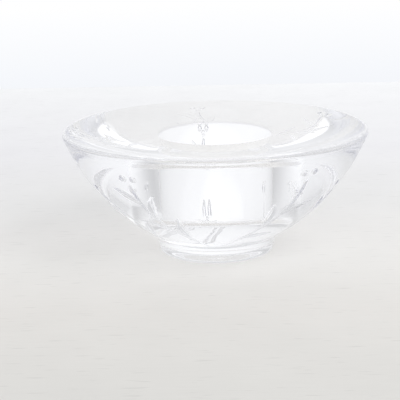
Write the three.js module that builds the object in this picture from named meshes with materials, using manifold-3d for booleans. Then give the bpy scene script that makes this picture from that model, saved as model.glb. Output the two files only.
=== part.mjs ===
// A heavy bowl of clear cast glass that holds one standard tealight in a round well.
// Its wall carries a moulded design of leaning stems, slender leaves and berries.
// Millimetres, +Z up. The origin is the middle of the foot, on the surface it stands on.
import * as THREE from "three";
import { mergeVertices } from "three/addons/utils/BufferGeometryUtils.js";
import Module from "manifold-3d";

// Overall sizes
const height = 46;
const rimRadius = 56;

// The rim's rounded edge: its height and depth over its widest line, and how it grows out of the wall
const rimEdgeHeight = 1.2;
const rimEdgeDepth = 1.6;
const rimShoulder = 0.15;
const rimBlendHeight = 0.6;

// The dished top falls from the rim to the lip of the well in a shallow curve
const lipDrop = 2.2;
const dishSag = 0.5;

// The well takes one tealight, with a gap all round it at the floor, and widens a little upwards
const tealightWidth = 39;
const tealightGap = 0.9;
const wellDraft = 0.3;
const wellDepth = 20.8;
const lipFillet = 1.2;
const wellFillet = 3;

// The foot, whose side leans outwards as it rises, and the shallow hollow under it with its soft edge
const footRadius = 22.4;
const footTaper = 1;
const footHeight = 5.8;
const footEdge = 0.4;
const hollowRadius = 18.8;
const hollowDepth = 2;
const hollowEdge = 8;

// The outer wall swells in one arc from the waist just above the foot to the rim
const waistStep = 1.6;
const waistHeight = 1;
const wallBend = 76;

// The moulded design, which keeps clear of the foot and of the rim
const lineWidth = 1.1;
const lineHeight = 0.6;
const leafWidth = 2.6;
const leafLength = 17;
const leafHeight = 0.65;
const leafTurn = 0.45;
const leafBend = 0.2;
const berryWidth = 2.4;
const berryHeight = 0.75;
const berrySpread = 3.6;
const berryArch = 0.6;
const designMarginLow = 2.5;
const designMarginHigh = 6;

// How deep under the wall's surface the raised shapes are rooted
const rootDepth = 0.2;

// How finely the round shapes are divided, and the shortest edge worth keeping
const sidesRound = 60;
const wallSteps = 10;
const edgeSteps = 4;
const cornerSteps = 3;
const bendSteps = 2;
const stemSteps = 9;
const leafSteps = 4;
const sectionSides = 4;
const berrySides = 6;
const shortestEdge = 0.02;

const quarter = Math.PI / 2;
const fullTurn = Math.PI * 2;
const v2 = (r, z) => new THREE.Vector2(r, z);

/** Points on a quarter ellipse between two points, which leaves the first one upright or level. */
function roundCorner(from, to, leavesUpright, steps) {
  const points = [];
  for (let i = 0; i <= steps; i += 1) {
    const early = Math.sin((quarter * i) / steps);
    const late = 1 - Math.cos((quarter * i) / steps);
    const shareR = leavesUpright ? late : early;
    const shareZ = leavesUpright ? early : late;
    points.push(v2(from.x + (to.x - from.x) * shareR, from.y + (to.y - from.y) * shareZ));
  }
  return points;
}

// The wall's arc runs through its two ends, with its centre on the side of the axis.
const wallLow = v2(footRadius + waistStep, footHeight + waistHeight);
const wallHigh = v2(rimRadius - rimShoulder, height - rimEdgeHeight - rimBlendHeight);
const chord = wallHigh.clone().sub(wallLow);
const chordHalf = chord.length() / 2;
const toCentre = v2(-chord.y, chord.x).setLength(Math.sqrt(wallBend ** 2 - chordHalf ** 2));
const wallCentre = wallLow.clone().add(wallHigh).multiplyScalar(0.5).add(toCentre);
const wallLowAngle = wallLow.clone().sub(wallCentre).angle();
const wallLength = 2 * wallBend * Math.asin(chordHalf / wallBend);

/** A place on the wall's outline, a distance up from the wall's foot and a height off its surface. */
function onWall(distance, off) {
  const angle = wallLowAngle + distance / wallBend;
  const reach = wallBend + off;
  return v2(wallCentre.x + reach * Math.cos(angle), wallCentre.y + reach * Math.sin(angle));
}

/** Where two straight lines cross, each given by a place on it and its way. */
function crossing(start, way, otherStart, otherWay) {
  const share = otherStart.clone().sub(start).cross(otherWay) / way.cross(otherWay);
  return start.clone().addScaledVector(way, share);
}

/** Half the section of the foot, from the middle of the hollow under it to the wall. */
function footOutline() {
  const sideLow = v2(footRadius - footTaper, footEdge);
  const sideHigh = v2(footRadius, footHeight);
  const points = [v2(0, hollowDepth)];
  for (let i = edgeSteps; i >= 0; i -= 1) {
    const share = i / edgeSteps;
    points.push(v2(hollowRadius - hollowEdge * share, hollowDepth * share ** 2 * (3 - 2 * share)));
  }
  points.push(...roundCorner(v2(sideLow.x - footEdge, 0), sideLow, false, cornerSteps));
  const wallWay = onWall(1, 0).sub(wallLow);
  const waist = crossing(sideHigh, sideHigh.clone().sub(sideLow), wallLow, wallWay);
  points.push(...new THREE.QuadraticBezierCurve(sideHigh, waist, wallLow).getPoints(bendSteps).slice(0, -1));
  return points;
}

/** Half the section of the wall, and of the rim's edge as far as the top. */
function wallOutline() {
  const points = [];
  for (let i = 0; i <= wallSteps; i += 1) {
    points.push(onWall((wallLength * i) / wallSteps, 0));
  }
  const widest = v2(rimRadius, height - rimEdgeHeight);
  const lean = onWall(wallLength, 1).sub(wallHigh);
  const meets = v2(rimRadius, wallHigh.y - (rimShoulder * lean.x) / lean.y);
  const blend = new THREE.QuadraticBezierCurve(wallHigh, meets, widest);
  points.push(...blend.getPoints(bendSteps).slice(1));
  points.push(...roundCorner(widest, v2(rimRadius - rimEdgeDepth, height), true, edgeSteps).slice(1));
  return points;
}

/** Half the section of the dished top, the well's lip, its side and its floor. */
function topOutline() {
  const dishStart = v2(rimRadius - rimEdgeDepth, height);
  const wellLowRadius = tealightWidth / 2 + tealightGap;
  const wellHighRadius = wellLowRadius + wellDraft;
  const lipHeight = height - lipDrop;
  const floorHeight = lipHeight - wellDepth;
  const dishEnd = v2(wellHighRadius + lipFillet, lipHeight);
  const dishMiddle = dishStart.clone().add(dishEnd).multiplyScalar(0.5);
  dishMiddle.y -= dishSag * 2;
  const dish = new THREE.QuadraticBezierCurve(dishStart, dishMiddle, dishEnd);
  const lipLow = v2(wellHighRadius, lipHeight - lipFillet);
  const floorEdge = v2(wellLowRadius - wellFillet, floorHeight);
  return [
    ...dish.getPoints(edgeSteps).slice(1),
    ...roundCorner(dishEnd, lipLow, false, edgeSteps).slice(1),
    ...roundCorner(v2(wellLowRadius, floorHeight + wellFillet), floorEdge, true, cornerSteps),
    v2(0, floorHeight),
  ];
}

const wasm = await Module();
wasm.setup();

/** Turns a closed three.js geometry into a solid, without the faces that shrink to a line on an axis. */
function solidFrom(geometry) {
  const bare = geometry.clone();
  bare.deleteAttribute("normal");
  bare.deleteAttribute("uv");
  const merged = mergeVertices(bare);
  const corners = merged.index.array;
  const kept = [];
  for (let i = 0; i < corners.length; i += 3) {
    const [a, b, c] = corners.slice(i, i + 3);
    if (a !== b && b !== c && c !== a) {
      kept.push(a, b, c);
    }
  }
  const vertProperties = new Float32Array(merged.attributes.position.array);
  return new wasm.Manifold(new wasm.Mesh({ numProp: 3, vertProperties, triVerts: new Uint32Array(kept) }));
}

/** Draws together the ends of edges too short to matter, which a join leaves where faces nearly meet. */
function withoutShortEdges(points, faces) {
  const facesAt = points.map(() => new Set());
  faces.forEach((face, f) => face.forEach((p) => facesAt[p].add(f)));
  const around = (p) => new Set([...facesAt[p]].flatMap((f) => faces[f]));
  for (let f = 0; f < faces.length; f += 1) {
    for (let side = 0; side < 3 && faces[f]; side += 1) {
      const [kept, gone] = [faces[f][side], faces[f][(side + 1) % 3]];
      const aroundGone = around(gone);
      const shared = [...around(kept)].filter((p) => p !== kept && p !== gone && aroundGone.has(p));
      if (points[kept].distanceTo(points[gone]) < shortestEdge && shared.length === 2) {
        for (const g of [...facesAt[gone]]) {
          if (faces[g].includes(kept)) {
            faces[g].forEach((p) => facesAt[p].delete(g));
            faces[g] = null;
          } else {
            faces[g] = faces[g].map((p) => (p === gone ? kept : p));
            facesAt[kept].add(g);
          }
        }
      }
    }
  }
  return faces.filter((face) => face);
}

/** Turns a solid back into a three.js geometry. */
function geometryFrom(solid) {
  const mesh = solid.getMesh();
  const points = [];
  for (let i = 0; i < mesh.vertProperties.length; i += 3) {
    points.push(new THREE.Vector3(...mesh.vertProperties.slice(i, i + 3)));
  }
  const faces = [];
  for (let i = 0; i < mesh.triVerts.length; i += 3) {
    faces.push([...mesh.triVerts.slice(i, i + 3)]);
  }
  const geometry = new THREE.BufferGeometry().setFromPoints(points);
  geometry.setIndex(withoutShortEdges(points, faces).flat());
  const tidy = mergeVertices(geometry, 0);
  tidy.computeVertexNormals();
  return tidy;
}

// The design is drawn flat, at its true width half way up the wall, and then wrapped round it.
const designRadius = onWall(wallLength / 2, 0).x;
const designHeight = wallLength - designMarginLow - designMarginHigh;

/** A place in the flat drawing, from degrees round the bowl and a share of the design's height. */
function onDrawing(degrees, share) {
  return v2(THREE.MathUtils.degToRad(degrees) * designRadius, designMarginLow + designHeight * share);
}

/** Half the width that a raised shape has at its root, where it comes out of the wall with a given width. */
function rootHalfWidth(width, rise) {
  return ((width / 2) * (rise + rootDepth)) / rise;
}

/**
 * Turns a shape drawn flat (x along the wall, y up it, z off it, as thick as halfWidth) into a solid
 * that rises from the wall by its own height and is rooted in it.
 */
function raised(geometry, halfWidth, rise) {
  geometry.scale(1, 1, (rise + rootDepth) / halfWidth);
  const place = geometry.attributes.position;
  for (let i = 0; i < place.count; i += 1) {
    const spot = onWall(place.getY(i), place.getZ(i) - rootDepth);
    const around = place.getX(i) / designRadius;
    place.setXYZ(i, spot.x * Math.cos(around), spot.x * Math.sin(around), spot.y);
  }
  return solidFrom(geometry);
}

/** A stem's middle line, drawn flat: it leans and bows, and sinks into the wall at both ends. */
class Stem extends THREE.Curve {
  constructor(foot, tip, bow) {
    super();
    this.foot = foot;
    this.rise = tip.clone().sub(foot);
    this.bow = bow;
  }

  getPoint(share, target = new THREE.Vector3()) {
    const fade = Math.min(1, stemSteps * share, stemSteps * (1 - share));
    const off = rootHalfWidth(lineWidth, lineHeight) * (fade - 1);
    const x = this.foot.x + this.rise.x * share + this.bow * Math.sin(Math.PI * share);
    return target.set(x, this.foot.y + this.rise.y * share, off);
  }
}

/** The solid of one stem. */
function stemSolid(stem) {
  const halfWidth = rootHalfWidth(lineWidth, lineHeight);
  const corners = [];
  for (let i = 0; i < sectionSides; i += 1) {
    const turn = (fullTurn * i) / sectionSides;
    corners.push(v2(Math.cos(turn), Math.sin(turn)).multiplyScalar(halfWidth));
  }
  const options = { steps: stemSteps, bevelEnabled: false, extrudePath: stem };
  return raised(new THREE.ExtrudeGeometry(new THREE.Shape(corners), options), halfWidth, lineHeight);
}

/** A slender, bent leaf with a ridge along its middle, which springs from a point at a turn from upright. */
function leafSolid(root, turn, length, bend) {
  const halfWidth = rootHalfWidth(leafWidth, leafHeight);
  const outline = [v2(0, 0)];
  for (let i = 1; i < leafSteps; i += 1) {
    const share = i / leafSteps;
    outline.push(v2(halfWidth * Math.sin(Math.PI * share), length * share));
  }
  outline.push(v2(0, length));
  const blade = new THREE.LatheGeometry(outline, sectionSides);
  const place = blade.attributes.position;
  for (let i = 0; i < place.count; i += 1) {
    place.setX(i, place.getX(i) + bend * length * (place.getY(i) / length) ** 2);
  }
  blade.rotateZ(-turn);
  blade.translate(root.x, root.y, 0);
  return raised(blade, halfWidth, leafHeight);
}

/** A round berry. */
function berrySolid(place) {
  const halfWidth = rootHalfWidth(berryWidth, berryHeight);
  const berry = new THREE.SphereGeometry(halfWidth, berrySides, sectionSides);
  berry.translate(place.x, place.y, 0);
  return raised(berry, halfWidth, berryHeight);
}

// Each sprig: the place of its foot round the bowl and the lean of its tip, in degrees, the share of the
// design's height that it reaches, the bow of its stem in millimetres, and how many leaves and berries
// it has.
const sprigs = [
  { at: 4, lean: 30, reach: 0.95, bow: 4, leaves: 3, berries: 2 },
  { at: 44, lean: -16, reach: 0.6, bow: -3, leaves: 2, berries: 1 },
  { at: 78, lean: 20, reach: 0.9, bow: 5, leaves: 3, berries: 2 },
  { at: 120, lean: -22, reach: 0.85, bow: -4, leaves: 3, berries: 1 },
  { at: 158, lean: 14, reach: 0.6, bow: 3, leaves: 2, berries: 0 },
  { at: 194, lean: -20, reach: 0.95, bow: -4, leaves: 3, berries: 2 },
  { at: 226, lean: -16, reach: 0.7, bow: 3, leaves: 2, berries: 1 },
  { at: 264, lean: -28, reach: 0.92, bow: -6, leaves: 4, berries: 2 },
  { at: 274, lean: 32, reach: 0.95, bow: 7, leaves: 4, berries: 2 },
  { at: 320, lean: 12, reach: 0.7, bow: 3, leaves: 2, berries: 1 },
];

// Where a sprig's leaves begin and end along its stem, and how much shorter they are at its tip
const firstLeaf = 0.18;
const lastLeaf = 0.9;
const leafShortening = 0.45;

/** The solids of one sprig: its stem, its leaves by turns on either side, and berries over its tip. */
function sprigSolids(sprig) {
  const tip = onDrawing(sprig.at + sprig.lean, sprig.reach);
  const stem = new Stem(onDrawing(sprig.at, 0), tip, sprig.bow);
  const solids = [stemSolid(stem)];
  for (let i = 0; i < sprig.leaves; i += 1) {
    const share = firstLeaf + ((lastLeaf - firstLeaf) * i) / sprig.leaves;
    const along = stem.getTangent(share);
    const side = i % 2 === 0 ? 1 : -1;
    const turn = Math.atan2(along.x, along.y) + side * leafTurn;
    const length = leafLength * (1 - leafShortening * share);
    solids.push(leafSolid(stem.getPoint(share), turn, length, side * leafBend));
  }
  for (let i = 0; i < sprig.berries; i += 1) {
    const turn = i - (sprig.berries - 1) / 2;
    const spread = v2(Math.sin(turn), berryArch * Math.cos(turn)).multiplyScalar(berrySpread);
    solids.push(berrySolid(spread.add(tip)));
  }
  return solids;
}

const bowl = new THREE.LatheGeometry([...footOutline(), ...wallOutline(), ...topOutline()], sidesRound);
bowl.rotateX(quarter);
const raisedDesign = sprigs.flatMap(sprigSolids);
const glass = raisedDesign.reduce((whole, solid) => whole.add(solid), solidFrom(bowl));

const clearGlass = new THREE.MeshStandardMaterial({
  color: 0xf3f7fa,
  roughness: 0.03,
  metalness: 0,
  transparent: true,
  opacity: 0.4,
});
const glassBody = new THREE.Mesh(geometryFrom(glass), clearGlass);
glassBody.name = "glass_body";

const holder = new THREE.Group();
holder.add(glassBody);

export default holder;
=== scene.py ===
# %% [markdown]
# # A tealight holder of clear cast glass
#
# This lesson dresses one heavy glass bowl. The real thing is a single casting: a short round foot,
# a wall that swells in one long curve, a wide dished top, and a well for one tealight. A plant design
# stands in low relief round the wall. The construction model comes first, as a fixed frame that gives
# the sizes, and the glass is then made again at a finer grain, because clear glass shows every facet.

import math

import bmesh
import bpy
from mathutils import Matrix, Vector
from mathutils.kdtree import KDTree


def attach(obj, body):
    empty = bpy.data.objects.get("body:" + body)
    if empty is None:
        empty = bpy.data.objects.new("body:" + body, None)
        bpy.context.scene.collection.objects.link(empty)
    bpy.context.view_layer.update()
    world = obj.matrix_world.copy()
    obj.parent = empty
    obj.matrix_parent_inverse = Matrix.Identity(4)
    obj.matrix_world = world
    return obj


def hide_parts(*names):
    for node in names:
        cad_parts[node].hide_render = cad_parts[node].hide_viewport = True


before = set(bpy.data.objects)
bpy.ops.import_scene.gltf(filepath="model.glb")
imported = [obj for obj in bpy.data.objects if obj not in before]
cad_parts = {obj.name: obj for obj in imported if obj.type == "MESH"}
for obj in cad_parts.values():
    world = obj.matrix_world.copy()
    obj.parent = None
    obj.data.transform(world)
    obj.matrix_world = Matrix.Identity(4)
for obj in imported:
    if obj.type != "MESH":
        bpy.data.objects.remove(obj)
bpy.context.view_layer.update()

# %% [markdown]
# ## The camera
#
# The photograph was taken from a little above the rim with a long lens. The place and the tilts below
# were found by laying the rim, the lip and the foot over the picture until all three ellipses agreed.
# The picture is square, so the lens follows from the focal length in pixels.

# %% Place the camera
PICTURE_WIDTH = 400
FOCAL_PIXELS = 1105
SENSOR = 36.0
NEAREST_SEEN = 0.01
EYE = Vector((0.0, -0.400, 0.1266))
LOOKS_DOWN = math.radians(15.19)
TURNS_LEFT = math.radians(0.86)
ROLLS = math.radians(-1.17)

eye = bpy.data.cameras.new("eye")
eye.sensor_width = SENSOR
eye.lens = FOCAL_PIXELS * SENSOR / PICTURE_WIDTH
eye.clip_start = NEAREST_SEEN
camera = bpy.data.objects.new("eye", eye)
bpy.context.scene.collection.objects.link(camera)
aim = Matrix.Rotation(TURNS_LEFT, 4, "Z") @ Matrix.Rotation(math.pi / 2 - LOOKS_DOWN, 4, "X")
camera.matrix_world = Matrix.Translation(EYE) @ aim @ Matrix.Rotation(ROLLS, 4, "Z")
bpy.context.scene.camera = camera
print("lens", round(eye.lens, 2), "mm")

# %% [markdown]
# ## The sizes
#
# These are the driving sizes of the construction model, written in millimetres as a glass maker would
# have them on a mould drawing. Everything below is worked out from them. The hollow under the foot is
# given in two steps, each with the radius where it begins and the height that it leads to: the glass
# rises softly from the stand, and sinks again a little towards the middle.

# %% Driving sizes of the bowl
# In metres: a millimetre, and a hair's breadth that counts as nothing.
MM = 0.001
HAIR = 1e-6

# In millimetres.
HEIGHT = 46
RIM_RADIUS = 56
RIM_EDGE_HEIGHT = 1.2
RIM_EDGE_DEPTH = 1.6
RIM_SHOULDER = 0.15
RIM_BLEND_HEIGHT = 0.6
LIP_DROP = 2.2
DISH_SAG = 0.5
TEALIGHT_WIDTH = 39
TEALIGHT_GAP = 0.9
WELL_DRAFT = 0.3
WELL_DEPTH = 20.8
LIP_FILLET = 1.2
WELL_FILLET = 3
FOOT_RADIUS = 22.4
FOOT_TAPER = 1
FOOT_HEIGHT = 5.8
FOOT_EDGE = 0.4
HOLLOW_EDGE = 8
HOLLOW_STEPS = [(18.8, 2.0), (8.0, 1.8)]
WAIST_STEP = 1.6
WAIST_HEIGHT = 1
WALL_BEND = 76
print("the bowl is", RIM_RADIUS * 2, "mm across and", HEIGHT, "mm high")

# %% [markdown]
# ## The wall's long curve
#
# The wall is one arc of a circle between the foot and the rim. Two ends and a radius fix its centre,
# and after that any place on it is an angle, which makes the wall easy to draw on: a distance up the
# wall and a height off its surface give a point in the section.

# %% Find the wall's arc
def v2(r, z):
    """A point in the bowl's half section: how far from the axis, and how high."""
    return Vector((r, z))


wall_low = v2(FOOT_RADIUS + WAIST_STEP, FOOT_HEIGHT + WAIST_HEIGHT)
wall_high = v2(RIM_RADIUS - RIM_SHOULDER, HEIGHT - RIM_EDGE_HEIGHT - RIM_BLEND_HEIGHT)
chord = wall_high - wall_low
to_centre = v2(-chord.y, chord.x).normalized() * math.sqrt(WALL_BEND**2 - (chord.length / 2) ** 2)
wall_centre = (wall_low + wall_high) / 2 + to_centre
wall_low_angle = math.atan2(wall_low.y - wall_centre.y, wall_low.x - wall_centre.x)
wall_length = 2 * WALL_BEND * math.asin(chord.length / 2 / WALL_BEND)


def on_wall(distance, off=0.0):
    """A point in the section, a distance up the wall from its low end and a height off its surface."""
    angle = wall_low_angle + distance / WALL_BEND
    return wall_centre + v2(math.cos(angle), math.sin(angle)) * (WALL_BEND + off)


print("the wall is", round(wall_length, 1), "mm long and bends round", [round(v, 1) for v in wall_centre])

# %% [markdown]
# ## The section
#
# A bowl like this is turned from its half section. Glass that has been pressed and fire-polished has no
# sharp edge anywhere, so each corner is a quarter ellipse, and the rim's edge grows out of the wall
# through a short blend. The points lie close together where the section turns sharply, and farther
# apart on the long plain stretches, because the eye reads a facet in glass at once. Each stretch
# begins one step after the end of the stretch before it.

# %% Ways to draw a stretch
def steps(count):
    """Even shares from 0 to 1."""
    return [i / count for i in range(count + 1)]


def round_corner(start, end, leaves_upright, count):
    """Points on a quarter ellipse between two points, which leaves the first one upright or level."""
    points = []
    for share in steps(count)[1:]:
        early = math.sin(share * math.pi / 2)
        late = 1 - math.cos(share * math.pi / 2)
        r, z = (late, early) if leaves_upright else (early, late)
        points.append(v2(start.x + (end.x - start.x) * r, start.y + (end.y - start.y) * z))
    return points


def bent_line(start, middle, end, count):
    """Points on a line that bends towards its middle point."""
    return [start * (1 - t) ** 2 + middle * 2 * t * (1 - t) + end * t**2 for t in steps(count)[1:]]


def straight(start, end, count):
    """Even points on a straight line."""
    return [start.lerp(end, t) for t in steps(count)[1:]]


def crossing(start, way, other_start, other_way):
    """Where two straight lines in the section cross."""
    return start + way * (other_start - start).cross(other_way) / way.cross(other_way)


# How many steps each stretch of the section is drawn in.
STRETCHES = {
    "underside": 70,
    "stand": 8,
    "foot edge": 8,
    "foot side": 2,
    "waist": 16,
    "wall": 48,
    "rim blend": 10,
    "rim edge": 20,
    "dish": 28,
    "lip": 10,
    "well side": 12,
    "well corner": 10,
    "well floor": 8,
}
print(len(STRETCHES), "stretches in", sum(STRETCHES.values()), "steps")

# %% Draw the foot
# A short way up the wall, which tells in what direction the wall leaves the waist.
SHORT_WAY = 0.5


def hollow_height(radius):
    """How high the underside is at a distance from the axis, one soft step after the other."""
    height, before = 0.0, 0.0
    for begins, leads_to in HOLLOW_STEPS:
        share = min(max((begins - radius) / HOLLOW_EDGE, 0), 1)
        height += (leads_to - before) * share**2 * (3 - 2 * share)
        before = leads_to
    return height


hollow_radius = HOLLOW_STEPS[0][0]
side_low = v2(FOOT_RADIUS - FOOT_TAPER, FOOT_EDGE)
side_high = v2(FOOT_RADIUS, FOOT_HEIGHT)
stand_outer = v2(side_low.x - FOOT_EDGE, 0)
waist = crossing(side_high, side_high - side_low, wall_low, on_wall(SHORT_WAY) - wall_low)
inwards = [hollow_radius * t for t in steps(STRETCHES["underside"])]
foot = [
    *[v2(radius, hollow_height(radius)) for radius in inwards],
    *straight(v2(hollow_radius, 0), stand_outer, STRETCHES["stand"]),
    *round_corner(stand_outer, side_low, False, STRETCHES["foot edge"]),
    *straight(side_low, side_high, STRETCHES["foot side"]),
    *bent_line(side_high, waist, wall_low, STRETCHES["waist"]),
]
print("the stand ring is", round(stand_outer.x - hollow_radius, 1), "mm wide")

# %% Draw the wall and the rim
rim_widest = v2(RIM_RADIUS, HEIGHT - RIM_EDGE_HEIGHT)
rim_top = v2(RIM_RADIUS - RIM_EDGE_DEPTH, HEIGHT)
lean = on_wall(wall_length, 1) - wall_high
rim_bend = v2(RIM_RADIUS, wall_high.y - RIM_SHOULDER * lean.x / lean.y)
wall_and_rim = [
    *[on_wall(wall_length * t) for t in steps(STRETCHES["wall"])[1:]],
    *bent_line(wall_high, rim_bend, rim_widest, STRETCHES["rim blend"]),
    *round_corner(rim_widest, rim_top, True, STRETCHES["rim edge"]),
]
print("the rim is", round(rim_widest.x, 1), "mm from the axis at its widest")

# %% Draw the dished top and the well
well_low_radius = TEALIGHT_WIDTH / 2 + TEALIGHT_GAP
well_high_radius = well_low_radius + WELL_DRAFT
lip_height = HEIGHT - LIP_DROP
floor_height = lip_height - WELL_DEPTH
dish_end = v2(well_high_radius + LIP_FILLET, lip_height)
dish_middle = (rim_top + dish_end) / 2 - v2(0, DISH_SAG * 2)
lip_low = v2(well_high_radius, lip_height - LIP_FILLET)
floor_rise = v2(well_low_radius, floor_height + WELL_FILLET)
floor_edge = v2(well_low_radius - WELL_FILLET, floor_height)
dish_and_well = [
    *bent_line(rim_top, dish_middle, dish_end, STRETCHES["dish"]),
    *round_corner(dish_end, lip_low, False, STRETCHES["lip"]),
    *straight(lip_low, floor_rise, STRETCHES["well side"]),
    *round_corner(floor_rise, floor_edge, True, STRETCHES["well corner"]),
    *straight(floor_edge, v2(0, floor_height), STRETCHES["well floor"]),
]
section = foot + wall_and_rim + dish_and_well
print("the well's mouth is", round(well_high_radius * 2, 1), "mm wide")
print("the section has", len(section), "points")

# %% [markdown]
# ## Turning the bowl with Geometry Nodes
#
# A node tree does what a lathe does. It lays out a flat grid with one row for each point of the
# section and one column for each step round the axis, looks up the section's point for each row, and
# swings it round. Merging what coincides closes the seam and the two poles, so the glass is one
# closed skin, which a glass shader needs to know inside from outside. A Screw modifier could turn the
# section too, but a tree also gives the skin its glass, and has its settings as named inputs. Trees are
# easier to read when each node takes one line, so a few helpers come first.

# %% Helpers for node trees
def new_tree(name, sockets):
    """An empty Geometry Nodes tree with named inputs, and its two end nodes."""
    tree = bpy.data.node_groups.new(name, "GeometryNodeTree")
    for title, kind in sockets:
        tree.interface.new_socket(title, in_out="INPUT", socket_type=kind)
    tree.interface.new_socket("Geometry", in_out="OUTPUT", socket_type="NodeSocketGeometry")
    return tree, tree.nodes.new("NodeGroupInput"), tree.nodes.new("NodeGroupOutput")


def add_node(tree, kind, feeds=(), **settings):
    """Adds a node, sets its options, and feeds its sockets with links or plain values."""
    node = tree.nodes.new(kind)
    for option, value in settings.items():
        setattr(node, option, value)
    for socket, source in dict(feeds).items():
        if isinstance(source, bpy.types.NodeSocket):
            tree.links.new(source, node.inputs[socket])
        else:
            node.inputs[socket].default_value = source
    return node


def sums(tree, operation, *terms, kind="ShaderNodeMath", result=0):
    """One step of arithmetic in a tree, as the socket that holds its result."""
    return add_node(tree, kind, dict(enumerate(terms)), operation=operation).outputs[result]


def whole_sums(tree, operation, *terms):
    """The same for whole numbers."""
    return sums(tree, operation, *terms, kind="FunctionNodeIntegerMath")


def place_sums(tree, operation, *terms, result=0):
    """The same for places, ways and colours."""
    return sums(tree, operation, *terms, kind="ShaderNodeVectorMath", result=result)


def times(tree, vector, factor):
    """A place, way or colour times a number."""
    feeds = {0: vector, "Scale": factor}
    return add_node(tree, "ShaderNodeVectorMath", feeds, operation="SCALE").outputs[0]


def spread(tree, source, low, high, start=0.0, end=1.0, **settings):
    """Turns a range of the source into another range, and holds it at both ends."""
    feeds = {"Value": source, "From Min": low, "From Max": high, "To Min": start, "To Max": end}
    return add_node(tree, "ShaderNodeMapRange", feeds, **settings).outputs[0]


def dress(tree, shaped, given, result):
    """Ends a tree: makes its shape real and gives it the glass."""
    whole = add_node(tree, "GeometryNodeRealizeInstances", {"Geometry": shaped.outputs[0]})
    feeds = {"Geometry": whole.outputs[0], "Material": given.outputs["Glass"]}
    dressed = add_node(tree, "GeometryNodeSetMaterial", feeds)
    tree.links.new(dressed.outputs[0], result.inputs[0])


print("helpers for trees:", *[helper.__name__ for helper in (sums, whole_sums, place_sums, times, spread)])

# %% Helpers for pieces
def new_piece(name, points=(), edges=(), faces=()):
    """An object at the origin with a mesh of its own."""
    mesh = bpy.data.meshes.new(name)
    mesh.from_pydata([tuple(p) for p in points], edges, faces)
    piece = bpy.data.objects.new(name, mesh)
    bpy.context.scene.collection.objects.link(piece)
    return piece


def grow(piece, tree, inputs):
    """Runs a tree on an object, sets its named inputs by their identifiers, and keeps a plain mesh."""
    modifier = piece.modifiers.new(tree.name, "NODES")
    modifier.node_group = tree
    for item in tree.interface.items_tree:
        if item.in_out == "INPUT" and item.name in inputs:
            modifier[item.identifier] = inputs[item.name]
    ready = piece.evaluated_get(bpy.context.evaluated_depsgraph_get())
    mesh = bpy.data.meshes.new_from_object(ready)
    piece.modifiers.remove(modifier)
    old = piece.data
    piece.data = mesh
    bpy.data.meshes.remove(old)


drawn_section = new_piece("section", [(p.x * MM, 0, p.y * MM) for p in section])
print("the section is an object with", len(drawn_section.data.vertices), "points")

# %% Build the lathe
def lathe_tree():
    """A tree that turns a section round the Z axis."""
    sockets = [
        ("Section", "NodeSocketObject"),
        ("Points", "NodeSocketInt"),
        ("Steps round", "NodeSocketInt"),
        ("Glass", "NodeSocketMaterial"),
    ]
    tree, given, result = new_tree("turn the bowl", sockets)
    columns = whole_sums(tree, "ADD", given.outputs["Steps round"], 1)
    feeds = {"Vertices X": given.outputs["Points"], "Vertices Y": columns}
    grid = add_node(tree, "GeometryNodeMeshGrid", feeds)
    index = add_node(tree, "GeometryNodeInputIndex").outputs[0]
    row = whole_sums(tree, "DIVIDE_FLOOR", index, columns)
    column = whole_sums(tree, "MODULO", index, columns)
    drawn = add_node(tree, "GeometryNodeObjectInfo", {"Object": given.outputs["Section"]})
    place = add_node(tree, "GeometryNodeInputPosition").outputs[0]
    feeds = {"Geometry": drawn.outputs["Geometry"], "Value": place, "Index": row}
    looked_up = add_node(tree, "GeometryNodeSampleIndex", feeds, data_type="FLOAT_VECTOR")
    point = add_node(tree, "ShaderNodeSeparateXYZ", {0: looked_up.outputs[0]})
    turn = sums(tree, "MULTIPLY", sums(tree, "DIVIDE", column, given.outputs["Steps round"]), math.tau)
    across = sums(tree, "MULTIPLY", point.outputs["X"], sums(tree, "COSINE", turn))
    along = sums(tree, "MULTIPLY", point.outputs["X"], sums(tree, "SINE", turn))
    swung = add_node(tree, "ShaderNodeCombineXYZ", {"X": across, "Y": along, "Z": point.outputs["Z"]})
    feeds = {"Geometry": grid.outputs["Mesh"], "Position": swung.outputs[0]}
    placed = add_node(tree, "GeometryNodeSetPosition", feeds)
    feeds = {"Geometry": placed.outputs[0], "Distance": HAIR}
    closed = add_node(tree, "GeometryNodeMergeByDistance", feeds)
    dress(tree, closed, given, result)
    return tree


lathe = lathe_tree()
print("the lathe has", len(lathe.nodes), "nodes")

# %% Turn the bowl
STEPS_ROUND = 240
clear_glass = bpy.data.materials.new("clear glass")
bowl = new_piece("glass_bowl")
lathe_inputs = {
    "Section": drawn_section,
    "Points": len(section),
    "Steps round": STEPS_ROUND,
    "Glass": clear_glass,
}
grow(bowl, lathe, lathe_inputs)
bpy.data.objects.remove(drawn_section)
print("the turned bowl has", len(bowl.data.vertices), "points and", len(bowl.data.polygons), "faces")

# %% [markdown]
# ## The plant design
#
# The mould was cut with a plant design: leaning stems, slender leaves by turns on either side, and
# berries over the tips. It is drawn flat, as the mould cutter drew it, and wrapped round the wall
# afterwards. Each stroke is a line of close points, and each point knows how full the stroke is there.
# A bump texture would be quicker, but it leaves the outline and the thickness of the glass as they are,
# so the strokes are raised for real.

# %% Lay out the sprigs
DESIGN_MARGIN_LOW = 2.5
DESIGN_MARGIN_HIGH = 6

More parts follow.
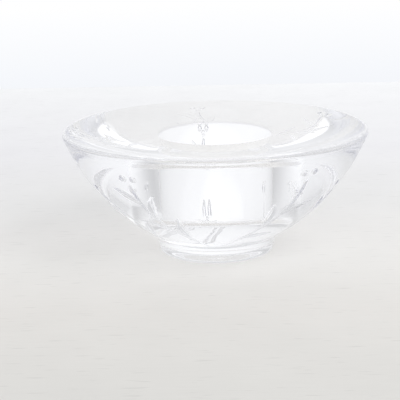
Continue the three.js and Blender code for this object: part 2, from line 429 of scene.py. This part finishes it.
# Each sprig: the place of its foot and the lean of its tip in degrees, the share of the design's height
# that it reaches, the bow of its stem in millimetres, and how many leaves and berries it has.
SPRIGS = [
    dict(at=4, lean=30, reach=0.95, bow=4, leaves=3, berries=2),
    dict(at=44, lean=-16, reach=0.6, bow=-3, leaves=2, berries=1),
    dict(at=78, lean=20, reach=0.9, bow=5, leaves=3, berries=2),
    dict(at=120, lean=-22, reach=0.85, bow=-4, leaves=3, berries=1),
    dict(at=158, lean=14, reach=0.6, bow=3, leaves=2, berries=0),
    dict(at=194, lean=-20, reach=0.95, bow=-4, leaves=3, berries=2),
    dict(at=226, lean=-16, reach=0.7, bow=3, leaves=2, berries=1),
    dict(at=264, lean=-28, reach=0.92, bow=-6, leaves=4, berries=2),
    dict(at=274, lean=32, reach=0.95, bow=7, leaves=4, berries=2),
    dict(at=320, lean=12, reach=0.7, bow=3, leaves=2, berries=1),
]
design_radius = on_wall(wall_length / 2).x
design_height = wall_length - DESIGN_MARGIN_LOW - DESIGN_MARGIN_HIGH


def on_drawing(degrees, share):
    """A place in the flat drawing, from degrees round the bowl and a share of the design's height."""
    return v2(math.radians(degrees) * design_radius, DESIGN_MARGIN_LOW + design_height * share)


def stem_place(sprig, share):
    """A place along a sprig's bowed stem."""
    root = on_drawing(sprig["at"], 0)
    tip = on_drawing(sprig["at"] + sprig["lean"], sprig["reach"])
    return root.lerp(tip, share) + v2(sprig["bow"] * math.sin(math.pi * share), 0)


print(len(SPRIGS), "sprigs on a drawing", round(design_height, 1), "mm high")

# %% Draw the stems
POINT_GAP = 0.25

# A leaning stem is longer than it is high.
STEM_SLACK = 1.2

# How fast a stem grows full from either end, and how full it is at the very end.
STEM_FADE = 9
STEM_TIP = 0.2


def stem_stroke(sprig):
    """A stem as (place, fullness) pairs. It is full along its length and fades at both ends."""
    count = round(design_height * sprig["reach"] * STEM_SLACK / POINT_GAP)
    stroke = []
    for share in steps(count):
        full = min(1.0, STEM_FADE * share + STEM_TIP, STEM_FADE * (1 - share) + STEM_TIP)
        stroke.append((stem_place(sprig, share), full))
    return stroke


stem_strokes = [stem_stroke(sprig) for sprig in SPRIGS]
print(len(stem_strokes), "stems")

# %% Draw the leaves
# In millimetres, and the turn away from the stem in radians.
LEAF_LENGTH = 17
LEAF_TURN = 0.45

# Shares of the leaf's length: how far it bends aside, and how much shorter it is at the stem's tip.
LEAF_BEND = 0.2
LEAF_SHORTENING = 0.45

# Shares of the stem's length: where the leaves begin and end, and a step that shows the stem's direction.
FIRST_LEAF = 0.18
LAST_LEAF = 0.9
NEARBY = 0.01


def leaf_strokes_of(sprig):
    """The leaves of one sprig, each a stroke that swells and tapers."""
    strokes = []
    for i in range(sprig["leaves"]):
        side = 1 if i % 2 == 0 else -1
        share = FIRST_LEAF + (LAST_LEAF - FIRST_LEAF) * i / sprig["leaves"]
        along = stem_place(sprig, share + NEARBY) - stem_place(sprig, share - NEARBY)
        turn = math.atan2(along.x, along.y) + side * LEAF_TURN
        length = LEAF_LENGTH * (1 - LEAF_SHORTENING * share)
        root = stem_place(sprig, share)
        reach = v2(math.sin(turn), math.cos(turn)) * length
        aside = v2(math.cos(turn), -math.sin(turn)) * length * side * LEAF_BEND
        count = round(length / POINT_GAP)
        strokes.append([(root + reach * t + aside * t**2, math.sin(math.pi * t)) for t in steps(count)])
    return strokes


leaf_strokes = [stroke for sprig in SPRIGS for stroke in leaf_strokes_of(sprig)]
print(len(leaf_strokes), "leaves")

# %% Draw the berries
BERRY_SPREAD = 3.6
BERRY_ARCH = 0.6


def berry_strokes_of(sprig):
    """The berries over a sprig's tip, each a single point."""
    tip = stem_place(sprig, 1)
    turns = [i - (sprig["berries"] - 1) / 2 for i in range(sprig["berries"])]
    places = [tip + v2(math.sin(turn), BERRY_ARCH * math.cos(turn)) * BERRY_SPREAD for turn in turns]
    return [[(place, 1.0)] for place in places]


berry_strokes = [stroke for sprig in SPRIGS for stroke in berry_strokes_of(sprig)]
print(len(berry_strokes), "berries")

# %% Wrap the drawing round the wall
def wrapped(place):
    """A place in the flat drawing, wrapped round the wall, in metres."""
    spot = on_wall(place.y)
    around = place.x / design_radius
    return Vector((spot.x * math.cos(around), spot.x * math.sin(around), spot.y)) * MM


def stroke_lines(name, strokes):
    """All strokes of one kind as lines on the wall, with their fullness as an attribute."""
    points, edges, fullness = [], [], []
    for stroke in strokes:
        first = len(points)
        points += [wrapped(place) for place, _ in stroke]
        fullness += [full for _, full in stroke]
        edges += [(i, i + 1) for i in range(first, len(points) - 1)]
    lines = new_piece(name, points, edges)
    lines.data.attributes.new("fullness", "FLOAT", "POINT").data.foreach_set("value", fullness)
    return lines


stems = stroke_lines("stems", stem_strokes)
leaves = stroke_lines("leaves", leaf_strokes)
berries = stroke_lines("berries", berry_strokes)
print("stroke points", [len(lines.data.vertices) for lines in (stems, leaves, berries)])

# %% [markdown]
# ## A finer skin under the strokes
#
# A stem is about a millimetre wide, and the turned skin is about that coarse. Making the whole skin
# finer would cost a million faces, so only the faces near a stroke are split, twice over, the second
# time in a narrower band. Each new point is put back on the wall's true curve, or the glass would be
# flat between the old points and the strokes would stand in visible plates.

# %% Find what lies near a stroke
LINE_WIDTH = 1.1
LEAF_WIDTH = 2.6
BERRY_WIDTH = 2.4
widths = [(stems, LINE_WIDTH), (leaves, LEAF_WIDTH), (berries, BERRY_WIDTH)]
half_widths = []
finder = KDTree(sum(len(lines.data.vertices) for lines, _ in widths))
for lines, width in widths:
    for vertex, full in zip(lines.data.vertices, lines.data.attributes["fullness"].data):
        finder.insert(vertex.co, len(half_widths))
        half_widths.append(width / 2 * full.value * MM)
finder.balance()
print("the strokes are up to", round(max(half_widths) * 2 / MM, 1), "mm wide")

# %% Split the faces near the strokes
SPLITS = 2
MOST_CORNERS = 4

# In millimetres. A band reaches past a stroke by this margin and by the width of a face that it splits,
# which is at first one cell of the turned skin.
BAND_MARGIN = 0.2
CELL = 1.1

# In millimetres. The well's side is as high up as the wall, but lies further inside the foot's radius.
WELL_MARGIN = 0.5


def is_on_wall(vert):
    """Whether a point of the skin lies on the wall, between foot and rim."""
    if not wall_low.y * MM + HAIR < vert.co.z < wall_high.y * MM - HAIR:
        return False
    return math.hypot(vert.co.x, vert.co.y) > (FOOT_RADIUS - WELL_MARGIN) * MM


def put_on_wall(vert):
    """Moves a point of the wall to the wall's true surface."""
    spot = v2(math.hypot(vert.co.x, vert.co.y), vert.co.z) / MM
    arm = spot - wall_centre
    true_spot = wall_centre + arm.normalized() * WALL_BEND
    vert.co *= true_spot.x / spot.x
    vert.co.z = true_spot.y * MM


skin = bmesh.new()
skin.from_mesh(bowl.data)
for split in range(SPLITS):
    band = (BAND_MARGIN + CELL / 2**split) * MM
    near = set()
    for vert in filter(is_on_wall, skin.verts):
        _, i, distance = finder.find(vert.co)
        if distance < half_widths[i] + band:
            near.add(vert)
    edges = [edge for edge in skin.edges if near.issuperset(edge.verts)]
    made = bmesh.ops.subdivide_edges(skin, edges=edges, cuts=1, use_grid_fill=True)
    for item in made["geom_inner"]:
        if isinstance(item, bmesh.types.BMVert):
            put_on_wall(item)
bmesh.ops.triangulate(skin, faces=[face for face in skin.faces if len(face.verts) > MOST_CORNERS])
skin.to_mesh(bowl.data)
skin.free()
print("the finer bowl has", len(bowl.data.vertices), "points and", len(bowl.data.polygons), "faces")

# %% [markdown]
# ## Raising the design
#
# A second tree lifts the skin along its own normals where a stroke lies under it. For each point it
# finds the nearest place on the strokes of one kind, looks up how full the stroke is there, and turns
# the distance into a soft ridge. Three kinds are measured apart and the highest one wins, so a leaf
# grows out of its stem without a step. Cast glass is never quite even either, so slow waves are added
# all over. They grow with the height above the table, so that the stand stays level.

# %% One ridge for each kind of stroke
# The power that rounds a ridge's shoulders, and the share of its half width that its groove takes.
SHOULDER = 0.6
VEIN_WIDTH = 0.3


def ridge(tree, lines, width, rise, vein):
    """The height that one kind of stroke adds at each point of the skin, less a groove along its middle."""
    drawn = add_node(tree, "GeometryNodeObjectInfo", {"Object": lines}).outputs["Geometry"]
    near = add_node(tree, "GeometryNodeProximity", {0: drawn}, target_element="POINTS")
    feeds = {"Geometry": drawn, "Sample Position": near.outputs["Position"]}
    index = add_node(tree, "GeometryNodeSampleNearest", feeds).outputs[0]
    named = add_node(tree, "GeometryNodeInputNamedAttribute", {"Name": "fullness"}, data_type="FLOAT")
    feeds = {"Geometry": drawn, "Value": named.outputs[0], "Index": index}
    full = add_node(tree, "GeometryNodeSampleIndex", feeds, data_type="FLOAT").outputs[0]
    half = sums(tree, "MULTIPLY", sums(tree, "DIVIDE", width, 2.0), full)
    share = sums(tree, "DIVIDE", near.outputs["Distance"], sums(tree, "MAXIMUM", half, HAIR))
    left = sums(tree, "MAXIMUM", sums(tree, "SUBTRACT", 1.0, sums(tree, "MULTIPLY", share, share)), 0.0)
    top = sums(tree, "MULTIPLY", rise, sums(tree, "SQRT", full))
    middle = spread(tree, share, 0.0, VEIN_WIDTH, 1.0, 0.0, interpolation_type="SMOOTHSTEP")
    kept = sums(tree, "SUBTRACT", 1.0, sums(tree, "MULTIPLY", middle, vein))
    return sums(tree, "MULTIPLY", sums(tree, "MULTIPLY", top, kept), sums(tree, "POWER", left, SHOULDER))


print("a ridge's groove takes", VEIN_WIDTH, "of its half width")

# %% The slow waves of a casting
# In millimetres: how long they are, how high from trough to crest at most, and how far over the table
# they have grown full.
WAVE_LENGTH = 16
WAVE_HEIGHT = 0.06
WAVE_START = 12

# How many finer layers the noise adds to its first one.
WAVE_DETAIL = 1.0

# The value that a noise lies round.
NOISE_MIDDLE = 0.5


def cloud(tree, place, fineness, detail):
    """A noise round zero, whose lumps get smaller as its fineness grows."""
    feeds = {"Vector": place, "Scale": fineness, "Detail": detail}
    noise = add_node(tree, "ShaderNodeTexNoise", feeds)
    return sums(tree, "SUBTRACT", noise.outputs[0], NOISE_MIDDLE)


def waves(tree, length, height, start):
    """The height that the waves add at each point of the skin."""
    place = add_node(tree, "GeometryNodeInputPosition").outputs[0]
    swell = cloud(tree, place, sums(tree, "DIVIDE", 1.0, length), WAVE_DETAIL)
    up = add_node(tree, "ShaderNodeSeparateXYZ", {0: place}).outputs["Z"]
    return sums(tree, "MULTIPLY", sums(tree, "MULTIPLY", swell, height), spread(tree, up, 0.0, start))


print("the waves are about", WAVE_LENGTH, "mm long and at most", WAVE_HEIGHT, "mm high")

# %% Build the tree that raises the strokes
def relief_tree():
    """A tree that raises the strokes on the bowl's skin."""
    kinds = ("Stem", "Leaf", "Berry")
    measures = ("width", "rise", "vein")
    wave_words = ("length", "height", "start")
    sockets = [("Geometry", "NodeSocketGeometry")]
    for kind in kinds:
        sockets.append((f"{kind} lines", "NodeSocketObject"))
        sockets += [(f"{kind} {measure}", "NodeSocketFloat") for measure in measures]
    sockets += [(f"Wave {word}", "NodeSocketFloat") for word in wave_words]
    sockets.append(("Glass", "NodeSocketMaterial"))
    tree, given, result = new_tree("raise the design", sockets)
    height = 0.0
    for kind in kinds:
        named = [given.outputs[f"{kind} {word}"] for word in ("lines", *measures)]
        height = sums(tree, "MAXIMUM", height, ridge(tree, *named))
    height = sums(tree, "ADD", height, waves(tree, *[given.outputs[f"Wave {word}"] for word in wave_words]))
    normal = add_node(tree, "GeometryNodeInputNormal").outputs[0]
    feeds = {"Geometry": given.outputs["Geometry"], "Offset": times(tree, normal, height)}
    dress(tree, add_node(tree, "GeometryNodeSetPosition", feeds), given, result)
    return tree


relief = relief_tree()
print("the tree that raises the strokes has", len(relief.nodes), "nodes")

# %% Raise the design on the bowl
LINE_HEIGHT = 0.6
LEAF_HEIGHT = 0.65
BERRY_HEIGHT = 0.75
VEIN_DEPTH = 0.4
relief_inputs = {
    "Stem lines": stems,
    "Stem width": LINE_WIDTH * MM,
    "Stem rise": LINE_HEIGHT * MM,
    "Leaf lines": leaves,
    "Leaf width": LEAF_WIDTH * MM,
    "Leaf rise": LEAF_HEIGHT * MM,
    "Leaf vein": VEIN_DEPTH,
    "Berry lines": berries,
    "Berry width": BERRY_WIDTH * MM,
    "Berry rise": BERRY_HEIGHT * MM,
    "Wave length": WAVE_LENGTH * MM,
    "Wave height": WAVE_HEIGHT * MM,
    "Wave start": WAVE_START * MM,
    "Glass": clear_glass,
}
grow(bowl, relief, relief_inputs)
for lines in (stems, leaves, berries):
    bpy.data.objects.remove(lines)
print("the bowl is", round(max(v.co.z for v in bowl.data.vertices) / MM, 2), "mm high with its design on")

# %% [markdown]
# ## Closing the skin
#
# Glass needs a skin without gaps whose faces all point outwards, because the shader bends light one
# way when it enters and the other way when it leaves. The signed volume tells which way the faces
# point. Smooth shading then lets neighbouring faces pass for one curve.

# %% Check and smooth the skin
CUBIC_CM = 1e-6
skin = bmesh.new()
skin.from_mesh(bowl.data)
if skin.calc_volume(signed=True) < 0:
    bmesh.ops.reverse_faces(skin, faces=skin.faces)
bmesh.ops.triangulate(skin, faces=skin.faces)
open_edges = sum(not edge.is_manifold for edge in skin.edges)
print("triangles", len(skin.faces), "and open edges", open_edges)
print("the glass fills", round(skin.calc_volume() / CUBIC_CM, 1), "cubic centimetres")
for face in skin.faces:
    face.smooth = True
skin.to_mesh(bowl.data)
skin.free()

# %% [markdown]
# ## The glass
#
# Clear cast glass bends light by about 1.52 and has no colour at its surface. What colour it has comes
# from its depth: absorption takes a little light on the way through, and a little less of the blue, so
# the thick places look faintly cool. A tinted surface would be simpler, but it would colour the thin
# edge as much as the thick foot.

# %% Make the glass
GLASS_BEND = 1.52
DEPTH_COLOUR = (0.25, 0.28, 0.55, 1.0)
DEPTH_DENSITY = 0.6
clear_glass.use_nodes = True
glass_nodes = clear_glass.node_tree
shader = glass_nodes.nodes["Principled BSDF"]
shader.inputs["Base Color"].default_value = (1.0, 1.0, 1.0, 1.0)
shader.inputs["Transmission Weight"].default_value = 1.0
shader.inputs["IOR"].default_value = GLASS_BEND
shader.inputs["Roughness"].default_value = 0.0
feeds = {"Color": DEPTH_COLOUR, "Density": DEPTH_DENSITY}
depth = add_node(glass_nodes, "ShaderNodeVolumeAbsorption", feeds)
glass_nodes.links.new(depth.outputs[0], glass_nodes.nodes["Material Output"].inputs["Volume"])
print("the glass bends light by", GLASS_BEND)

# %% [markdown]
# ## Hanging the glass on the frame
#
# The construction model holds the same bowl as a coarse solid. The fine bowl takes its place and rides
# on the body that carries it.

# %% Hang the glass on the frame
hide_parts("glass_body")
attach(bowl, "root")
print(bowl.name, "replaces the construction model's glass body")

# %% [markdown]
# ## The table
#
# The bowl stands on a pale wooden table that grows lighter and cooler towards its far edge, where the
# daylight falls on it. That daylight is painted into the table's colour, as a colour ramp over the
# table's own length, in metres from the bowl, so it stays on the table whichever way the camera looks.
# The table's top lies a tenth of a millimetre under the foot, because two faces in one place flicker.

# %% Lay the table
TABLE_BACK = 0.377
TABLE_FRONT = -1.6
TABLE_SIDE = 1.6
TABLE_TOP = -0.0001
TABLE_ROUGHNESS = 0.7
TABLE_GLOSS = 0.2
table_corners = [
    (-TABLE_SIDE, TABLE_FRONT, TABLE_TOP),
    (TABLE_SIDE, TABLE_FRONT, TABLE_TOP),
    (TABLE_SIDE, TABLE_BACK, TABLE_TOP),
    (-TABLE_SIDE, TABLE_BACK, TABLE_TOP),
]
table = new_piece("table", table_corners, [], [(0, 1, 2, 3)])
table_paint = bpy.data.materials.new("pale table")
table_paint.use_nodes = True
table.data.materials.append(table_paint)
table_nodes = table_paint.node_tree
shader = table_nodes.nodes["Principled BSDF"]
shader.inputs["Roughness"].default_value = TABLE_ROUGHNESS
shader.inputs["Specular IOR Level"].default_value = TABLE_GLOSS
print("the table is", 2 * TABLE_SIDE, "m wide and ends", TABLE_BACK, "m behind the bowl")

# %% Colour the table and paint its daylight, from front to back
# The curve between a picture's numbers and plain light is straight below its knee and a power above it.
KNEE = 0.04045
KNEE_SLOPE = 12.92
CURVE_LIFT = 0.055
CURVE_POWER = 2.4

# Where a new mark of a ramp starts, before it is put in its place.
ANYWHERE = 0.5


def colour(red, green, blue):
    """A colour as a picture shows it, 0 to 255, as the plain amounts of light that Blender uses."""
    shares = [value / 255 for value in (red, green, blue)]
    curved = [((s + CURVE_LIFT) / (1 + CURVE_LIFT)) ** CURVE_POWER for s in shares]
    return [s / KNEE_SLOPE if s < KNEE else c for s, c in zip(shares, curved)] + [1.0]


def ramp(tree, source, stops):
    """Turns the source into a colour by its (value, colour) stops, as the socket that holds it."""
    low, high = stops[0][0], stops[-1][0]
    node = add_node(tree, "ShaderNodeValToRGB", {0: spread(tree, source, low, high)})
    marks = node.color_ramp.elements
    while len(marks) < len(stops):
        marks.new(ANYWHERE)
    for mark, (value, shade) in zip(marks, stops):
        mark.position = (value - low) / (high - low)
        mark.color = shade
    return node.outputs["Color"]


# The table's own pale colour with painted daylight: darker towards the front, lighter and cooler towards
# the back.
DAYLIT_TABLE_COLOURS = [
    (-0.130, colour(217, 216, 213)),
    (-0.068, colour(225, 223, 220)),
    (-0.017, colour(233, 232, 230)),
    (0.020, colour(233, 232, 231)),
    (0.058, colour(230, 230, 230)),
    (0.102, colour(232, 232, 233)),
    (0.166, colour(235, 235, 238)),
    (0.370, colour(246, 247, 249)),
]
spot = add_node(table_nodes, "ShaderNodeTexCoord").outputs["Object"]
across_table = add_node(table_nodes, "ShaderNodeSeparateXYZ", {0: spot})
daylit_table_colour = ramp(table_nodes, across_table.outputs["Y"], DAYLIT_TABLE_COLOURS)
print("the table has", len(DAYLIT_TABLE_COLOURS), "shades from front to back")

# %% [markdown]
# ## The table's wood
#
# The wood isn't even. A slow noise makes it cloudy, a stretched one gives it its grain, and where a
# third one runs high it leaves short dark marks. Its right side is a touch lighter, which is painted
# light, as if more light fell there. A glass bowl also gathers light on the table round it. The lamp
# below doesn't shine through the glass, so two soft pools of such light are painted, a long one behind
# the bowl and a faint one before its foot. All of them are small numbers that add up to one strength,
# close to 1, by which the table's colour is multiplied.

# %% Grain the table, and paint its right side lighter
# Painted light: the table is a touch lighter on the right, as if more light fell on that side.
SIDE_LIGHT_REACH = 0.08
TABLE_SIDE_LIGHT = 0.01
CLOUD_SIZE = 0.03
CLOUD_DETAIL = 5.0
CLOUD_DEPTH = 0.07
GRAIN_STRETCH = (70.0, 900.0, 1.0)
GRAIN_DETAIL = 3.0
GRAIN_DEPTH = 0.04
MARK_STRETCH = (110.0, 800.0, 1.0)
MARK_DETAIL = 1.0
MARK_START = 0.15
MARK_FULL = 0.25
MARK_DEPTH = 0.09
sideways = across_table.outputs["X"]
strength = spread(table_nodes, sideways, -SIDE_LIGHT_REACH, SIDE_LIGHT_REACH, 1 - TABLE_SIDE_LIGHT, 1 + TABLE_SIDE_LIGHT)
mottle = cloud(table_nodes, spot, 1 / CLOUD_SIZE, CLOUD_DETAIL)
grain = cloud(table_nodes, place_sums(table_nodes, "MULTIPLY", spot, GRAIN_STRETCH), 1.0, GRAIN_DETAIL)
dashes = cloud(table_nodes, place_sums(table_nodes, "MULTIPLY", spot, MARK_STRETCH), 1.0, MARK_DETAIL)
uneven = [
    sums(table_nodes, "MULTIPLY", mottle, CLOUD_DEPTH),
    sums(table_nodes, "MULTIPLY", grain, GRAIN_DEPTH),
    spread(table_nodes, dashes, MARK_START, MARK_FULL, 0.0, -MARK_DEPTH),
]
for amount in uneven:
    strength = sums(table_nodes, "ADD", strength, amount)
print("the grain runs across, stretched", round(GRAIN_STRETCH[1] / GRAIN_STRETCH[0]), "to 1")

# %% Gather light on the table
POOL_CORE = 0.4

# The middle and the reach of each pool, in metres, and how much lighter it makes the table.
POOLS = [
    dict(centre=(0.0, 0.065, 0.0), reach=(0.048, 0.09, 1.0), gain=0.065),
    dict(centre=(-0.012, -0.022, 0.0), reach=(0.052, 0.026, 1.0), gain=0.05),
]
for pool in POOLS:
    centred = place_sums(table_nodes, "SUBTRACT", spot, pool["centre"])
    shares = place_sums(table_nodes, "DIVIDE", centred, pool["reach"])
    away = place_sums(table_nodes, "LENGTH", shares, result="Value")
    gathered = spread(table_nodes, away, POOL_CORE, 1.0, pool["gain"], 0.0, interpolation_type="SMOOTHSTEP")
    strength = sums(table_nodes, "ADD", strength, gathered)
painted = times(table_nodes, daylit_table_colour, strength)
table_nodes.links.new(painted, shader.inputs["Base Color"])
print("the table's paint has", len(table_nodes.nodes), "nodes")

# %% [markdown]
# ## The room
#
# Clear glass has nothing to show but the room round it. Here that is a white room with its brightest
# wall behind the bowl. From there the light fades to grey at the sides, lifts again a little past them,
# and is lowest behind the camera. It depends on the angle from the bright wall alone, so one ramp makes
# the whole room. The light fades more slowly upwards than sideways, so the way that a ray takes is
# flattened before its angle is measured. A photograph of a room would also do, but this one can be tuned
# by hand until the bands in the glass have the right tones.

# %% Light the room's walls
BRIGHT_WALL = Vector((0.12, 0.98, 0.16)).normalized()
FLATTENING = (1.0, 1.0, 0.75)
ROOM_TINT = (0.992, 1.0, 1.016)

# How light the room is, by the cosine of the angle from its bright wall.
ROOM_LIGHT = [
    (-1.0, 0.5),
    (-0.85, 0.6),
    (-0.7, 0.7),
    (-0.5, 0.76),
    (-0.3, 0.8),
    (-0.1, 0.78),
    (0.05, 0.7),
    (0.2, 0.64),
    (0.34, 0.67),
    (0.45, 0.73),
    (0.57, 0.8),
    (0.7, 0.88),
    (0.8, 0.93),
    (0.89, 0.98),
    (0.94, 1.0),
    (0.97, 1.02),
    (1.0, 1.04),
]
world = bpy.data.worlds.new("white room")
bpy.context.scene.world = world
world.use_nodes = True
room_nodes = world.node_tree
way = add_node(room_nodes, "ShaderNodeTexCoord").outputs["Generated"]
flattened = place_sums(room_nodes, "NORMALIZE", place_sums(room_nodes, "MULTIPLY", way, FLATTENING))
nearness = place_sums(room_nodes, "DOT_PRODUCT", flattened, BRIGHT_WALL, result="Value")
tinted = [(near, [light * tint for tint in ROOM_TINT] + [1.0]) for near, light in ROOM_LIGHT]
room = ramp(room_nodes, nearness, tinted)
print("the room's light runs from", ROOM_LIGHT[0][1], "to", ROOM_LIGHT[-1][1])

# %% [markdown]
# ## The light box and the backdrop
#
# A soft box of light hangs in front, above the camera, and shows in the dished top. Behind the table
# stands a white backdrop, which turns a little grey and cool where it meets the table.

# %% Hang the light box and the backdrop
LIGHT_BOX = Vector((0.1, -0.7, 0.7)).normalized()
BOX_EDGE = 0.7
BOX_FULL = 0.9
BOX_LIGHT = 1.4
BACKDROP_SHADES = [
    (-0.175, colour(243, 245, 249)),
    (-0.15, colour(246, 248, 252)),
    (-0.11, colour(252, 253, 255)),
    (-0.09, colour(255, 255, 255)),
]
boxed = place_sums(room_nodes, "DOT_PRODUCT", way, LIGHT_BOX, result="Value")
glow = spread(room_nodes, boxed, BOX_EDGE, BOX_FULL, 0.0, BOX_LIGHT, interpolation_type="SMOOTHSTEP")
room = place_sums(room_nodes, "MAXIMUM", room, times(room_nodes, ROOM_TINT, glow))
upwards = add_node(room_nodes, "ShaderNodeSeparateXYZ", {0: way}).outputs["Z"]
backdrop = ramp(room_nodes, upwards, BACKDROP_SHADES)
print("the light box is", round(2 * math.degrees(math.acos(BOX_EDGE))), "degrees wide with its soft edge")

# %% [markdown]
# ## Who sees which light
#
# The camera sees the backdrop, and the glass shows the room. The table is lit by a plain white sky in
# place of the room, so that its colours, daylight painted in, show as they are written. A ray that has
# once left the table counts as one that lights it, also when it goes through the glass on its way.

# %% Share out the light
PLAIN_LIGHT = (0.965, 0.965, 0.965, 1.0)

# Bounces are whole numbers, so less than a half means none.
NONE_YET = 0.5

# The places of the Mix node's sockets for colours.
MIX_FIRST = 6
MIX_SECOND = 7
MIX_RESULT = 2


def mixed(tree, share, first, second):
    """Goes from the first colour to the second one."""
    feeds = {0: share, MIX_FIRST: first, MIX_SECOND: second}
    return add_node(tree, "ShaderNodeMix", feeds, data_type="RGBA").outputs[MIX_RESULT]


path = add_node(room_nodes, "ShaderNodeLightPath")
shown = mixed(room_nodes, path.outputs["Is Camera Ray"], room, backdrop)
in_glass = sums(room_nodes, "MAXIMUM", path.outputs["Is Glossy Ray"], path.outputs["Is Transmission Ray"])
seen = sums(room_nodes, "MAXIMUM", in_glass, path.outputs["Is Camera Ray"])
direct = sums(room_nodes, "LESS_THAN", path.outputs["Diffuse Depth"], NONE_YET)
light = mixed(room_nodes, sums(room_nodes, "MULTIPLY", seen, direct), PLAIN_LIGHT, shown)
room_nodes.links.new(light, room_nodes.nodes["Background"].inputs["Color"])
bpy.context.scene.view_settings.view_transform = "Standard"
print("the room has", len(room_nodes.nodes), "nodes")

# %% [markdown]
# ## The lamp
#
# A plain sky alone leaves hardly a shadow. One soft lamp to the front right, the size of a small window,
# lays a faint one behind the bowl, to the left. The lamp doesn't show through the glass, where its
# bright square would look odd.

# %% Hang one soft lamp
LAMP_PLACE = Vector((0.6, -0.5, 0.9))
LAMP_SIZE = 0.5
LAMP_POWER = 1.7
lamp = bpy.data.lights.new("window", "AREA")
lamp.size = LAMP_SIZE
lamp.energy = LAMP_POWER
window = bpy.data.objects.new("window", lamp)
window.visible_transmission = False
bpy.context.scene.collection.objects.link(window)
turned = LAMP_PLACE.to_track_quat("Z", "Y").to_matrix().to_4x4()
window.matrix_world = Matrix.Translation(LAMP_PLACE) @ turned
print("the lamp hangs", round(LAMP_PLACE.length, 2), "m from the bowl")

# %% [markdown]
# ## Light inside the glass
#
# Light is thrown to and fro many times inside thick glass before it gets out. What Blender gives up on
# turns black, so it may follow a ray much further than its usual 12 bounces. Its blur for glossy
# paths is off, because it would smear the fine bright lines.

# %% Let light bounce on inside the glass
BOUNCES = 48
paths = bpy.context.scene.cycles
paths.max_bounces = BOUNCES
paths.diffuse_bounces = BOUNCES
paths.glossy_bounces = BOUNCES
paths.transmission_bounces = BOUNCES
paths.blur_glossy = 0.0
print("light is followed for", paths.max_bounces, "bounces")
